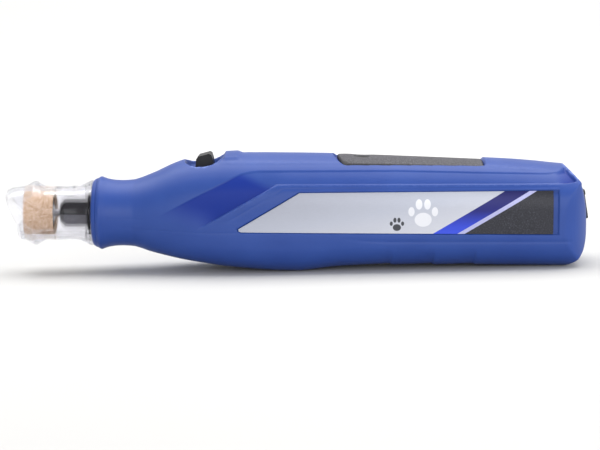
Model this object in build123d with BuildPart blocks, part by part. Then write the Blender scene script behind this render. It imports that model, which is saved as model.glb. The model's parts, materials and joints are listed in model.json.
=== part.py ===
from build123d import *
import math
import os

os.makedirs("parts", exist_ok=True)

# Cordless pet nail trimmer. Everything is drawn about the spindle axis
# (X, nose towards -X) and set down on its rest plane at the end.

# ---------------------------------------------------------------- driving sizes (mm)
TILT = 1.2            # spindle axis against the rest plane, degrees
REST_Z = 18.55        # spindle axis above the rest plane at the nose ring
MID_X = 64.36         # middle of the overall length along X

WALL = 2.2            # housing wall
HALF_WIDTH = 17.2     # widest half width of the housing
SEAM_GAP = 0.02       # half of the gap along the housing seam
TAIL_X = 155.2

NECK_BORE_R = 8.25
SPIGOT_R = 8.2
BEARING_OD_R, BEARING_ID_R = 6.5, 3.0
SPINDLE_NOSE_R = 2.8
SPINDLE_REAR_R = 2.5
COLLET_BORE_R = 1.62
SHANK_R = 1.5875      # 1/8 in mandrel shank
BAND_R = 6.75

GUARD_R, GUARD_IN_R = 8.55, 7.55
FLANGE_R = 10.15
GUARD_SLEEVE_R = 9.05

MOTOR_R, MOTOR_X0, MOTOR_X1 = 12.0, 37.5, 65.5
MOTOR_SHAFT_R = 1.0
CELL_R, CELL_X0, CELL_X1, CELL_Z = 9.25, 74.0, 139.2, -1.5

RECESS_DEPTH, LABEL_THICK = 0.75, 0.6
SCALLOP_DEPTH = 0.45
POCKET_DEPTH, INLAY_SINK = 1.4, 0.5

# ---------------------------------------------------------------- housing form
# along X: top, bottom and half width of the housing about the spindle axis
FORM = [
    (2.30, 10.95, -10.95, 10.95), (3.34, 11.46, -11.46, 11.46), (4.41, 11.10, -11.10, 11.10),
    (5.67, 10.72, -10.72, 10.72), (8.19, 10.36, -10.36, 10.36), (10.08, 10.30, -10.30, 10.30),
    (13.23, 10.49, -10.49, 10.49), (15.75, 11.17, -11.14, 11.15), (18.27, 12.15, -12.00, 11.95),
    (20.79, 13.22, -12.67, 12.70), (23.31, 14.42, -13.27, 13.40), (25.83, 15.59, -13.80, 14.05),
    (28.35, 16.55, -14.29, 14.60), (30.87, 17.22, -14.68, 15.10), (33.39, 17.66, -14.99, 15.50),
    (35.91, 17.98, -15.27, 15.80), (38.43, 18.24, -15.57, 16.10), (42.21, 18.57, -15.97, 16.50),
    (45.99, 18.76, -16.29, 16.80), (49.77, 18.87, -16.64, 17.00), (54.81, 18.87, -17.02, 17.15),
    (59.85, 18.83, -17.27, 17.20), (64.89, 18.79, -17.32, 17.20), (69.93, 18.73, -16.86, 17.20),
    (74.97, 18.63, -16.17, 17.15), (80.01, 18.50, -15.72, 17.10), (88.52, 18.28, -15.50, 17.05),
    (97.02, 18.06, -15.41, 16.97), (105.53, 17.83, -15.38, 16.90), (114.03, 17.58, -15.38, 16.80),
    (122.85, 17.30, -15.44, 16.70), (131.67, 16.87, -15.51, 16.52), (137.97, 16.39, -15.57, 16.40),
    (144.27, 15.88, -15.66, 16.22), (150.0, 15.40, -15.72, 16.05), (160.0, 14.55, -15.80, 15.80),
]
STATIONS = [2.4, 3.34, 4.6, 6.4, 10.1, 13.6, 18.3, 23.3, 28.4, 33.4, 39.0, 46.0, 54.8, 62.5,
            70.0, 77.0, 86.0, 101.0, 120.0, 137.0, 148.0, 158.0]

# half of the full body section, from the crown to the sole, y outwards and z up
BODY_HALF = [
    (0.0, 18.70), (3.6, 18.43), (7.2, 17.62), (9.6, 16.72), (10.9, 15.95), (12.1, 15.02),
    (13.3, 13.85), (14.6, 12.30), (15.8, 10.35), (16.55, 8.40), (17.02, 5.60), (17.18, 2.30),
    (17.2, -1.0), (17.18, -4.2), (17.02, -7.4), (16.36, -10.66), (13.98, -14.23), (10.41, -16.61),
    (6.2, -17.45), (3.0, -17.52), (0.0, -17.52),
]
SECTION_MID = -1.0


def hermite(knots, column, x):
    """Smooth curve through the knots, with finite-difference slopes."""
    xs = [k[0] for k in knots]
    ys = [k[column] for k in knots]
    i = 0
    while i < len(xs) - 2 and x > xs[i + 1]:
        i += 1
    step = xs[i + 1] - xs[i]

    def slope(j):
        if j == 0:
            return (ys[1] - ys[0]) / (xs[1] - xs[0])
        if j == len(xs) - 1:
            return (ys[-1] - ys[-2]) / (xs[-1] - xs[-2])
        d0 = (ys[j] - ys[j - 1]) / (xs[j] - xs[j - 1])
        d1 = (ys[j + 1] - ys[j]) / (xs[j + 1] - xs[j])
        return 0.0 if d0 * d1 <= 0 else 2 * d0 * d1 / (d0 + d1)

    u = (x - xs[i]) / step
    a = slope(i) * step
    b = slope(i + 1) * step
    return (ys[i] * (1 + 2 * u) * (1 - u) ** 2 + a * u * (1 - u) ** 2
            + ys[i + 1] * u * u * (3 - 2 * u) - b * u * u * (1 - u))


def polar_template():
    up, down = 18.70 - SECTION_MID, SECTION_MID + 17.52
    knots = []
    for y, z in BODY_HALF:
        v = (z - SECTION_MID) / (up if z >= SECTION_MID else down)
        u = y / HALF_WIDTH
        knots.append((math.atan2(u, v), math.hypot(u, v)))
    return knots


TEMPLATE = polar_template()


def template_radius(angle):
    xs = [k[0] for k in TEMPLATE]
    i = 0
    while i < len(xs) - 2 and angle > xs[i + 1]:
        i += 1
    step = xs[i + 1] - xs[i]

    def slope(j):
        if j == 0 or j == len(xs) - 1:
            return 0.0
        return (TEMPLATE[j + 1][1] - TEMPLATE[j - 1][1]) / (xs[j + 1] - xs[j - 1])

    u = (angle - xs[i]) / step
    a, b = slope(i) * step, slope(i + 1) * step
    r0, r1 = TEMPLATE[i][1], TEMPLATE[i + 1][1]
    return (r0 * (1 + 2 * u) * (1 - u) ** 2 + a * u * (1 - u) ** 2
            + r1 * u * u * (3 - 2 * u) - b * u * u * (1 - u))


def fullness(x):
    u = min(1.0, max(0.0, (x - 12.0) / 33.0))
    return u * u * (3 - 2 * u)


def outline(x, angle, inset=0.0):
    """Point (y, z) of the housing section at x, angle measured from the crown."""
    def at(a):
        t = fullness(x)
        r = 1 + t * (template_radius(abs(a)) - 1)
        top, bottom, half = (hermite(FORM, c, x) for c in (1, 2, 3))
        mid = SECTION_MID * t
        u, v = r * math.sin(a), r * math.cos(a)
        return half * u, mid + v * ((top - mid) if v >= 0 else (mid - bottom))
    y, z = at(angle)
    if inset == 0.0:
        return y, z
    (y0, z0), (y1, z1) = at(angle - 0.012), at(angle + 0.012)
    ty, tz = y1 - y0, z1 - z0
    size = math.hypot(ty, tz)
    return y + inset * tz / size, z - inset * ty / size


# edges of each section, by angle from the crown (degrees)
BREAKS = [-30.0, 30.0, 58.0, 92.0, 122.0, 158.0, 202.0, 238.0, 268.0, 302.0, 330.0]


def wrapped(angle):
    return (angle + 180.0) % 360.0 - 180.0


def form(inset, first=2.4, last=158.0):
    """The housing's outer form, moved inwards by inset, before the tail is shaped."""
    stations = sorted({first, last} | {s for s in STATIONS if first + 0.8 < s < last - 0.8})
    with BuildPart() as bp:
        for s in stations:
            with BuildSketch(Plane(origin=(s, 0, 0), x_dir=(0, 1, 0), z_dir=(1, 0, 0))):
                with BuildLine():
                    for a0, a1 in zip(BREAKS, BREAKS[1:]):
                        n = 4 if a1 - a0 > 45 else 3
                        pts = [outline(s, math.radians(wrapped(a0 + (a1 - a0) * i / n)), inset)
                               for i in range(n + 1)]
                        ends = []
                        for a in (a0, a1):
                            p = outline(s, math.radians(wrapped(a - 0.6)), inset)
                            q = outline(s, math.radians(wrapped(a + 0.6)), inset)
                            d = math.hypot(q[0] - p[0], q[1] - p[1])
                            ends.append(((q[0] - p[0]) / d, (q[1] - p[1]) / d))
                        Spline(*pts, tangents=ends)
                make_face()
        loft()
    return bp.part


def side_prism(points, half=40.0):
    """A prism along Y from an outline given as (x, z)."""
    with BuildPart() as bp:
        with BuildSketch(Plane.XZ):
            with BuildLine():
                Polyline(*points, close=True)
            make_face()
        extrude(amount=half, both=True)
    return bp.part


def tail_cut(inset):
    """What the tail keeps: rounded in plan and dome-shaped from the side."""
    i = inset
    with BuildPart() as bp:
        with BuildSketch(Plane.XZ):
            with BuildLine():
                l1 = Polyline((0, -30), (0, 30), (140 - i, 30), (147.0 - i, 16.6 - 0.55 * i), (151.9 - i, 10.9 - 0.55 * i))
                l2 = Spline(l1 @ 1, (153.55 - i, 6.6 - 0.4 * i), (154.9 - i, -0.5), (155.2 - i, -5.2),
                            (154.8 - i, -9.4 + 0.3 * i), (152.9 - i, -13.5 + 0.5 * i), (149.6 - i, -16.2 + 0.9 * i),
                            (145.0 - i, -17.4 + i))
                Polyline(l2 @ 1, (140 - i, -30), (0, -30))
            make_face()
        extrude(amount=40, both=True)
        with BuildSketch(Plane.XY.offset(-35)):
            with BuildLine():
                Polyline((0, -30), (0, 30), (138 - i, 30), (146.3 - i, 16.6 - i))
                l3 = Spline((146.3 - i, 16.6 - i), (151.2 - i, 14.9 - i), (154.0 - i, 11.2 - 0.8 * i), (155.3 - i, 5.0),
                            (155.4 - i, 0), (155.3 - i, -5.0), (154.0 - i, -11.2 + 0.8 * i), (151.2 - i, -14.9 + i),
                            (146.3 - i, -16.6 + i))
                Polyline((146.3 - i, -16.6 + i), (138 - i, -30), (0, -30))
            make_face()
        extrude(amount=70, mode=Mode.INTERSECT)
    return bp.part


def turned(*points, mode=Mode.ADD):
    """A ring or rod about the spindle axis from an outline given as (x, radius)."""
    with BuildSketch(Plane.XY) as sk:
        with BuildLine():
            Polyline(*points, close=True)
        make_face()
    revolve(sk.sketch, axis=Axis.X, mode=mode)


def rod(x0, x1, r, y=0.0, z=0.0, mode=Mode.ADD):
    with Locations(Location(((x0 + x1) / 2, y, z), (0, 90, 0))):
        Cylinder(r, x1 - x0, mode=mode)


def cross_rod(x, z, r, y0, y1, mode=Mode.ADD):
    with Locations(Location((x, (y0 + y1) / 2, z), (90, 0, 0))):
        Cylinder(r, y1 - y0, mode=mode)


def block(x0, x1, y0, y1, z0, z1, mode=Mode.ADD):
    with Locations(((x0 + x1) / 2, (y0 + y1) / 2, (z0 + z1) / 2)):
        Box(x1 - x0, y1 - y0, z1 - z0, mode=mode)


REST = Location((-MID_X, 0, REST_Z)) * Location((0, 0, 0), (0, TILT, 0))


def write(builder, name):
    builder.part.label = name
    placed = builder.part.moved(REST)
    placed.label = name
    export_step(placed, f"parts/{name}.step")


# ---------------------------------------------------------------- side feature outlines (x, z)
RECESS = [(46.3, -2.9), (65.4, 8.35), (144.8, 8.95), (144.8, -4.75), (47.6, -4.05), (46.4, -3.6)]
LABEL = [(46.75, -2.95), (65.45, 8.15), (143.1, 8.75), (143.1, -4.55), (47.6, -3.88), (46.85, -3.6)]
SCALLOP = [(23.3, 1.5), (32.2, 6.3), (40.4, 10.5), (45.2, 12.9), (47.3, 13.8), (50.0, 14.4), (52.9, 14.7),
           (94.8, 14.8), (117.9, 14.3), (143.0, 13.8), (147.0, 10.6), (58.5, 10.5), (37.0, -1.8)]

outer = form(0.0) & tail_cut(0.0)
proud = form(-1.2, 2.4, 157.0)
inner = form(WALL, 9.6, 156.0) & tail_cut(WALL)

label_floor = form(RECESS_DEPTH, 40.0, 150.0)
label_back = form(RECESS_DEPTH - LABEL_THICK, 40.0, 150.0)
scallop_floor = form(SCALLOP_DEPTH, 18.0, 152.0)
inlay_floor = form(POCKET_DEPTH, 70.0, 130.0)
inlay_face = form(INLAY_SINK, 70.0, 130.0)

# plan outline of the inlay pocket in the crown
with BuildPart() as inlay_prism:
    with BuildSketch(Plane.XY.offset(8)):
        with BuildLine():
            Polyline((79.9, 10.2), (122.9, 8.7), (122.9, -8.7), (79.9, -10.2))
            ThreePointArc((79.9, -10.2), (76.0, 0), (79.9, 10.2))
        make_face()
    extrude(amount=16)
with BuildPart() as inlay_plan:
    with BuildSketch(Plane.XY.offset(8)):
        with BuildLine():
            Polyline((80.1, 10.0), (122.7, 8.5), (122.7, -8.5), (80.1, -10.0))
            ThreePointArc((80.1, -10.0), (76.3, 0), (80.1, 10.0))
        make_face()
    extrude(amount=16)

# the thumb recess for the switch: boat shaped in plan, sloped at both ends
def boat(grow, floor):
    with BuildPart() as bp:
        with BuildSketch(Plane.XY.offset(8)):
            with BuildLine():
                Spline((29.0 - grow, 0), (31.4, 7.6 + grow), (36.0, 9.0 + grow), (39.6, 7.0 + grow), (42.6 + grow, 0),
                       tangents=((0, 1), (0, -1)))
                Spline((42.6 + grow, 0), (39.6, -7.0 - grow), (36.0, -9.0 - grow), (31.4, -7.6 - grow), (29.0 - grow, 0),
                       tangents=((0, -1), (0, 1)))
            make_face()
        extrude(amount=16)
        with BuildSketch(Plane.XZ):
            with BuildLine():
                Polyline((28.4 - grow, 24), (29.5 - grow, 17.4), (30.2 - grow, floor), (39.4 + grow, floor),
                         (42.6 + grow, 18.4), (43.0 + grow, 24), close=True)
            make_face()
        extrude(amount=20, both=True, mode=Mode.INTERSECT)
    return bp.part


RECESS_FLOOR = 14.2
boat_cut = boat(0.0, RECESS_FLOOR)
boat_pan = boat(1.3, RECESS_FLOOR - 1.4)

# grip hollows across the sole
GRIPS = [(87.0, 13.7), (99.9, 12.9), (112.8, 12.3)]
PORT_TILT = 9.5
PORT_X, PORT_Z = 154.28, 3.25
PORT_PLANE = Plane(origin=(PORT_X, 0, PORT_Z), x_dir=(0, 1, 0),
                   z_dir=(math.cos(math.radians(PORT_TILT)), 0, math.sin(math.radians(PORT_TILT))))
REST_PLANE = Plane(origin=(0, 0, -REST_Z / math.cos(math.radians(TILT))),
                   z_dir=(-math.sin(math.radians(TILT)), 0, math.cos(math.radians(TILT))))
SCREWS = [(24.6, 8.4), (27.0, -8.8), (70.3, 11.6), (70.3, -11.6), (146.0, -9.0)]

shell_cavity = inner - boat_pan
label_cut = (proud - label_floor) & side_prism(RECESS)
scallop_cut = (proud - scallop_floor) & side_prism(SCALLOP)
inlay_cut = (proud - inlay_floor) & inlay_prism.part

with BuildPart() as shell:
    add(outer)
    # thumb ridge behind the switch
    add(form(-0.75, 20.0, 60.0) & side_prism([(41.6, 15), (42.4, 19.6), (46.6, 21), (48.6, 15)], 8.0))
    add(shell_cavity, mode=Mode.SUBTRACT)
    rod(2.0, 9.6, NECK_BORE_R, mode=Mode.SUBTRACT)
    add(boat_cut, mode=Mode.SUBTRACT)
    add(label_cut, mode=Mode.SUBTRACT)
    add(scallop_cut, mode=Mode.SUBTRACT)
    add(inlay_cut, mode=Mode.SUBTRACT)
    for gx, span in GRIPS:
        depth = 0.35
        radius = (span / 2) ** 2 / (2 * depth) + depth / 2
        with Locations(Location((gx, 0, -15.42 - radius + depth), (90, 0, 0))):
            Cylinder(radius, 60, mode=Mode.SUBTRACT)
    # slot for the switch stem, light pipe hole, charging opening and flap pocket
    block(30.2, 35.7, -1.8, 1.8, 11.0, 15.5, mode=Mode.SUBTRACT)
    with Locations((84.9, 0, 16)):
        Cylinder(1.25, 8, mode=Mode.SUBTRACT)
    with BuildSketch(PORT_PLANE.offset(-5)) as opening:
        RectangleRounded(8.6, 3.7, 0.7)
    extrude(amount=8, mode=Mode.SUBTRACT)
    with BuildSketch(PORT_PLANE.offset(-0.75)):
        RectangleRounded(13.4, 9.2, 1.6)
    extrude(amount=5, mode=Mode.SUBTRACT)
    # flat rest pads on the belly and the heel
    split(bisect_by=REST_PLANE, keep=Keep.TOP)

# ribs, cradles and screw bosses inside the shell
with BuildPart() as fittings:
    block(20.5, 24.5, -20, 20, -20, 20)
    block(40.0, 42.0, -20, 20, -20, 20)
    block(60.0, 62.0, -20, 20, -20, 20)
    block(88.0, 90.0, -20, 20, -20, 1.5)
    block(126.0, 128.0, -20, 20, -20, 1.5)
    for bx, bz in SCREWS:
        cross_rod(bx, bz, 3.2, -18, 18)
    for px in (96.0, 122.0):
        block(px, px + 2.0, 7.0, 18.0, 8.4, 10.2)
        block(px, px + 2.0, -18.0, -7.0, 8.4, 10.2)
    block(144.0, 150.5, 5.6, 18.0, -0.9, 0.7)
    block(144.0, 150.5, -18.0, -5.6, -0.9, 0.7)
    add(form(WALL - 0.5, 9.6, 156.0) & tail_cut(WALL - 0.5), mode=Mode.INTERSECT)
    rod(20.0, 25.0, 5.0, mode=Mode.SUBTRACT)
    rod(39.5, 62.5, MOTOR_R, mode=Mode.SUBTRACT)
    rod(39.5, 62.5, 1.0, y=10.6, z=7.4, mode=Mode.SUBTRACT)
    rod(39.5, 62.5, 1.0, y=-10.6, z=7.4, mode=Mode.SUBTRACT)
    rod(87.5, 128.5, CELL_R + 0.05, z=CELL_Z, mode=Mode.SUBTRACT)


def surface_y(x, z):
    """Half width of the housing at height z."""
    best = min((abs(outline(x, math.radians(a / 4))[1] - z), outline(x, math.radians(a / 4))[0]) for a in range(40, 700))
    return best[1]


SEATS = [(bx, bz, surface_y(bx, bz) - 3.0) for bx, bz in SCREWS]

with BuildPart() as housing_left:
    add(shell.part)
    add(fittings.part)
    split(bisect_by=Plane.XZ, keep=Keep.TOP)
    for bx, bz, seat in SEATS:
        cross_rod(bx, bz, 1.1, -8.0, 1.0, mode=Mode.SUBTRACT)

with BuildPart() as housing_right:
    add(shell.part)
    add(fittings.part)
    split(bisect_by=Plane.XZ, keep=Keep.BOTTOM)
    for bx, bz, seat in SEATS:
        cross_rod(bx, bz, 1.3, -1.0, 20.0, mode=Mode.SUBTRACT)
        cross_rod(bx, bz, 2.2, seat, 20.0, mode=Mode.SUBTRACT)

with BuildPart() as housing_screws:
    for bx, bz, seat in SEATS:
        cross_rod(bx, bz, 1.1, -7.6, seat)
        cross_rod(bx, bz, 2.0, seat, seat + 1.5)
        cross_rod(bx, bz, 0.75, seat + 0.7, seat + 1.6, mode=Mode.SUBTRACT)

# ---------------------------------------------------------------- outer pieces
with BuildPart() as side_label_left:
    add((label_back - label_floor) & side_prism(LABEL))
    split(bisect_by=Plane.XZ, keep=Keep.TOP)

with BuildPart() as side_label_right:
    add((label_back - label_floor) & side_prism(LABEL))
    split(bisect_by=Plane.XZ, keep=Keep.BOTTOM)

with BuildPart() as lens_window:
    with BuildSketch(Plane.XY.offset(15)):
        with Locations((84.9, 0)):
            Ellipse(2.2, 2.6)
    extrude(amount=8)

with BuildPart() as top_grip_inlay:
    add((inlay_face - inlay_floor) & inlay_plan.part)
    with BuildSketch(Plane.XY.offset(15)):
        with Locations((84.9, 0)):
            Ellipse(2.25, 2.65)
    extrude(amount=8, mode=Mode.SUBTRACT)

with BuildPart() as indicator_lens:
    add((inlay_face - inlay_floor) & lens_window.part)
    with Locations((84.9, 0, (12.8 + 17.3) / 2)):
        Cylinder(1.15, 17.3 - 12.8)

with BuildPart() as nose_collar:
    turned((0.8, 9.1), (0.8, 9.9), (1.05, 10.3), (1.55, 10.65), (2.1, 10.9), (2.25, 10.8), (2.25, SPIGOT_R),
           (9.5, SPIGOT_R), (9.5, BEARING_OD_R), (4.0, BEARING_OD_R), (4.0, 4.0), (1.9, 4.0), (1.9, 9.1))

HOOD_CUT = [(-22.35, -13), (-22.35, -2.8), (-26.62, 5.9), (-32, 5.9), (-32, -13)]
with BuildPart() as nail_guard:
    turned((1.8, 8.1), (1.8, GUARD_SLEEVE_R), (0.6, GUARD_SLEEVE_R), (0.6, 10.3), (0.1, 10.3), (-1.6, 9.5),
           (-3.8, 8.65), (-14.2, GUARD_R), (-16.9, 10.05), (-17.4, FLANGE_R), (-17.9, 10.05), (-20.4, 8.6),
           (-24.6, 8.1), (-25.9, 7.55), (-26.6, 6.4), (-26.1, 5.6), (-25.9, 6.3), (-25.3, 6.9), (-24.4, 7.3),
           (-20.5, 7.75), (-17.7, 9.2), (-17.1, 9.2), (-14.4, GUARD_IN_R), (-3.7, GUARD_IN_R), (-1.4, 8.1))
    add(side_prism(HOOD_CUT), mode=Mode.SUBTRACT)
    with BuildPart(mode=Mode.PRIVATE) as front_wall:
        turned((-22.35, 0), (-22.35, 8.0), (-21.8, 8.0), (-21.8, 0))
        block(-23, -21, -10, 10, -10, -2.8, mode=Mode.INTERSECT)
    add(front_wall.part)
    with Locations((-7.9, 0, 10)):
        Cylinder(3.0, 8, mode=Mode.SUBTRACT)

with BuildPart() as port_cover:
    with BuildSketch(PORT_PLANE.offset(-0.72)):
        RectangleRounded(13.0, 8.8, 1.4)
    extrude(amount=1.05)
    with BuildSketch(PORT_PLANE.offset(-1.22)):
        RectangleRounded(7.8, 2.8, 1.0)
    extrude(amount=0.6)
    with BuildSketch(PORT_PLANE.offset(0.3)):
        with Locations((0, 3.4)):
            RectangleRounded(6.0, 1.5, 0.6)
    extrude(amount=0.75)

with BuildPart() as switch_button:
    with BuildSketch(Plane.XZ):
        with BuildLine():
            Polyline((33.0, 14.4), (33.3, 17.3), (34.0, 18.2), (37.3, 19.05), (38.0, 18.7), (38.5, 17.0), (38.7, 14.4), close=True)
        make_face()
    extrude(amount=4.6, both=True)
    fillet(switch_button.edges().filter_by(GeomType.LINE).group_by(Axis.Z)[-1], 0.3)
    block(33.3, 35.3, -1.5, 1.5, 12.7, 14.4)

with BuildPart() as switch_slider:
    block(28.6, 37.1, -2.6, 2.6, 12.05, 12.65)
    block(33.3, 35.3, -1.5, 1.5, 12.6, 12.7)
    block(33.9, 34.7, -0.8, 0.8, 8.9, 12.1)

with BuildPart() as switch_body:
    block(29.6, 35.6, -4.2, 4.2, 5.6, 10.2)
    block(30.6, 35.3, -1.1, 1.1, 8.4, 10.3, mode=Mode.SUBTRACT)

# ---------------------------------------------------------------- spindle and drum
with BuildPart() as front_bearing_outer:
    turned((4.0, 5.35), (4.0, BEARING_OD_R), (9.0, BEARING_OD_R), (9.0, 5.35))

with BuildPart() as front_bearing_inner:
    turned((4.0, BEARING_ID_R), (4.0, 4.1), (9.0, 4.1), (9.0, BEARING_ID_R))

with BuildPart() as bearing_balls:
    with Locations(Location((6.5, 0, 0), (0, 90, 0))):
        with PolarLocations(4.72, 8):
            Sphere(0.58)

with BuildPart() as rear_bush:
    turned((20.5, SPINDLE_REAR_R + 0.05), (20.5, 5.0), (24.5, 5.0), (24.5, SPINDLE_REAR_R + 0.05))

with BuildPart() as spindle:
    turned((-7.6, 2.0), (-7.6, SPINDLE_NOSE_R), (2.6, SPINDLE_NOSE_R), (2.6, 3.6), (4.0, 3.6), (4.0, BEARING_ID_R),
           (9.6, BEARING_ID_R), (9.6, SPINDLE_REAR_R), (29.4, SPINDLE_REAR_R), (29.4, 0), (9.5, 0), (9.5, 2.0))

with BuildPart() as collet:
    turned((-8.6, COLLET_BORE_R), (-8.6, 2.1), (-8.1, 2.7), (-7.65, 2.7), (-7.65, 1.97), (4.0, 1.97), (4.0, COLLET_BORE_R))
    block(-9.5, 1.5, -0.25, 0.25, -3, 3, mode=Mode.SUBTRACT)
    block(-9.5, 1.5, -3, 3, -0.25, 0.25, mode=Mode.SUBTRACT)

with BuildPart() as collet_nut:
    with BuildSketch(Plane(origin=(-9.6, 0, 0), x_dir=(0, 1, 0), z_dir=(1, 0, 0))):
        RegularPolygon(4.73, 6)
    extrude(amount=9.5)
    with BuildPart(mode=Mode.PRIVATE) as nut_form:
        turned((-9.6, 0), (-9.6, 2.8), (-7.9, 4.6), (-0.6, 4.6), (-0.1, 4.2), (-0.1, 0))
    add(nut_form.part, mode=Mode.INTERSECT)
    with BuildPart(mode=Mode.PRIVATE) as nut_bore:
        turned((-9.9, 0), (-9.9, 1.8), (-9.5, 1.8), (-8.8, 2.2), (-8.25, 2.86), (0.2, 2.86), (0.2, 0))
    add(nut_bore.part, mode=Mode.SUBTRACT)

with BuildPart() as dust_seal:
    turned((0.1, SPINDLE_NOSE_R), (0.1, 4.95), (-0.65, 4.95), (-0.65, 6.9), (-0.25, 6.9), (-0.25, 5.45), (0.8, 5.45),
           (0.8, SPINDLE_NOSE_R))

with BuildPart() as mandrel:
    turned((-19.35, 0.9), (-19.35, 1.5), (-12.3, 1.5), (-12.3, 2.7), (-11.7, 2.7), (-11.7, 1.1), (-10.1, 1.1),
           (-9.6, SHANK_R), (6.0, SHANK_R),
           (6.0, 0), (-14.0, 0), (-14.0, 0.9))

with BuildPart() as drum_rubber:
    turned((-20.35, 2.9), (-20.35, 6.3), (-12.3, 6.3), (-12.3, 1.5), (-19.35, 1.5), (-19.35, 2.9))

with BuildPart() as drum_screw:
    turned((-20.4, 0), (-20.4, 2.5), (-20.15, 2.85), (-19.35, 2.85), (-19.35, 0.9), (-14.0, 0.9), (-14.0, 0))
    block(-20.6, -19.9, -3, 3, -0.35, 0.35, mode=Mode.SUBTRACT)

with BuildPart() as sanding_band:
    turned((-20.55, 6.3), (-20.55, BAND_R), (-11.4, BAND_R), (-11.4, 6.3))

with BuildPart() as shaft_coupling:
    turned((25.6, SPINDLE_REAR_R), (25.6, 4.0), (33.6, 4.0), (33.6, MOTOR_SHAFT_R), (29.6, MOTOR_SHAFT_R), (29.6, SPINDLE_REAR_R))

# ---------------------------------------------------------------- motor
with BuildPart() as motor_can:
    turned((37.5, 2.6), (37.5, MOTOR_R), (65.5, MOTOR_R), (65.5, 11.4), (38.4, 11.4), (38.4, 2.6))

with BuildPart() as motor_end_cap:
    turned((63.5, 2.4), (63.5, 11.4), (65.5, 11.4), (65.5, MOTOR_R), (66.8, MOTOR_R), (66.8, 2.4))

with BuildPart() as motor_bushes:
    turned((36.2, MOTOR_SHAFT_R + 0.05), (36.2, 2.6), (39.4, 2.6), (39.4, MOTOR_SHAFT_R + 0.05))
    turned((63.9, MOTOR_SHAFT_R + 0.05), (63.9, 2.4), (67.2, 2.4), (67.2, MOTOR_SHAFT_R + 0.05))

with BuildPart() as motor_shaft:
    rod(30.0, 67.6, MOTOR_SHAFT_R)

with BuildPart() as motor_magnets:
    turned((41.0, 9.8), (41.0, 11.4), (60.0, 11.4), (60.0, 9.8))
    block(40, 61, -12, 12, -20, 20, mode=Mode.INTERSECT)
    block(40, 61, -4.5, 4.5, -20, 20, mode=Mode.SUBTRACT)

with BuildPart() as slots:
    with BuildSketch(Plane(origin=(43.0, 0, 0), x_dir=(0, 1, 0), z_dir=(1, 0, 0))):
        Circle(9.2)
        with PolarLocations(0, 3, 60):
            with Locations((5.4, 0)):
                Rectangle(5.2, 5.4, mode=Mode.SUBTRACT)
            with Locations((8.6, 0)):
                Rectangle(2.6, 1.2, mode=Mode.SUBTRACT)
        Circle(MOTOR_SHAFT_R, mode=Mode.SUBTRACT)
    extrude(amount=14.0)

with BuildPart() as armature_core:
    add(slots.part)

with BuildPart() as armature_windings:
    turned((43.0, 3.0), (43.0, 7.6), (42.2, 8.2), (40.8, 8.0), (40.0, 6.8), (40.0, 3.0))
    turned((57.0, 3.0), (57.0, 7.6), (57.8, 8.2), (59.2, 8.0), (60.0, 6.8), (60.0, 3.0))
    with BuildSketch(Plane(origin=(43.0, 0, 0), x_dir=(0, 1, 0), z_dir=(1, 0, 0))):
        with PolarLocations(0, 3, 60):
            with Locations((5.4, 0)):
                Rectangle(4.8, 5.0)
    extrude(amount=14.0)

with BuildPart() as commutator:
    turned((60.4, MOTOR_SHAFT_R), (60.4, 2.5), (63.2, 2.5), (63.2, MOTOR_SHAFT_R))

with BuildPart() as motor_brushes:
    for sgn in (1, -1):
        block(60.9, 62.9, *sorted((sgn * 2.56, sgn * 4.6)), -0.8, 0.8)
        block(60.9, 63.5, *sorted((sgn * 4.6, sgn * 4.85)), -0.8, 0.8)

with BuildPart() as motor_terminals:
    for sgn in (1, -1):
        block(66.8, 69.4, *sorted((sgn * 6.6, sgn * 7.2)), -1.5, 1.5)

# ---------------------------------------------------------------- power and control
with BuildPart() as battery_cell:
    rod(CELL_X0, CELL_X1, CELL_R, z=CELL_Z)
    rod(CELL_X1, CELL_X1 + 0.7, 3.0, z=CELL_Z)

with BuildPart() as battery_tabs:
    block(139.9, 140.2, -3, 3, -4.0, 10.2)
    with BuildSketch(Plane.XZ):
        with BuildLine():
            Polyline((74.0, -4.0), (74.0, 9.0), (82.3, 9.0), (82.3, 10.2), (82.0, 10.2), (82.0, 9.3), (73.7, 9.3), (73.7, -4.0), close=True)
        make_face()
    extrude(amount=3, both=True)

with BuildPart() as foam_pad:
    block(98.5, 121.0, -6, 6, 5.0, 10.15)
    rod(98.0, 121.5, CELL_R + 0.05, z=CELL_Z, mode=Mode.SUBTRACT)

with BuildPart() as control_board:
    block(80.0, 141.0, -8, 8, 10.2, 11.4)

with BuildPart() as board_components:
    block(96.0, 101.0, -2.5, 2.5, 11.4, 12.5)
    block(106.0, 110.0, -6.0, -3.0, 11.4, 12.3)
    block(106.0, 109.0, 2.0, 6.0, 11.4, 12.9)
    block(116.0, 121.0, -2.5, 2.5, 11.4, 13.0)
    with Locations((128.0, 0, 12.2)):
        Cylinder(2.6, 1.6)

with BuildPart() as status_led:
    block(83.9, 85.9, -1.0, 1.0, 11.4, 12.7)

with BuildPart() as charge_board:
    block(142.6, 151.6, -7, 7, 0.7, 1.9)

with BuildPart() as charging_socket:
    block(146.6, 152.8, -3.9, 3.9, 1.9, 4.55)
    block(148.2, 153.0, -3.5, 3.5, 2.3, 4.15, mode=Mode.SUBTRACT)
    block(148.0, 152.0, -2.3, 2.3, 2.95, 3.45)


def wire(points, radii, r=0.5):
    with BuildPart() as bp:
        with BuildLine() as path:
            FilletPolyline(*points, radius=radii)
        start = path.line @ 0
        with BuildSketch(Plane(origin=start, z_dir=path.line % 0)):
            Circle(r)
        sweep(path=path.line)
    return bp.part


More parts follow.
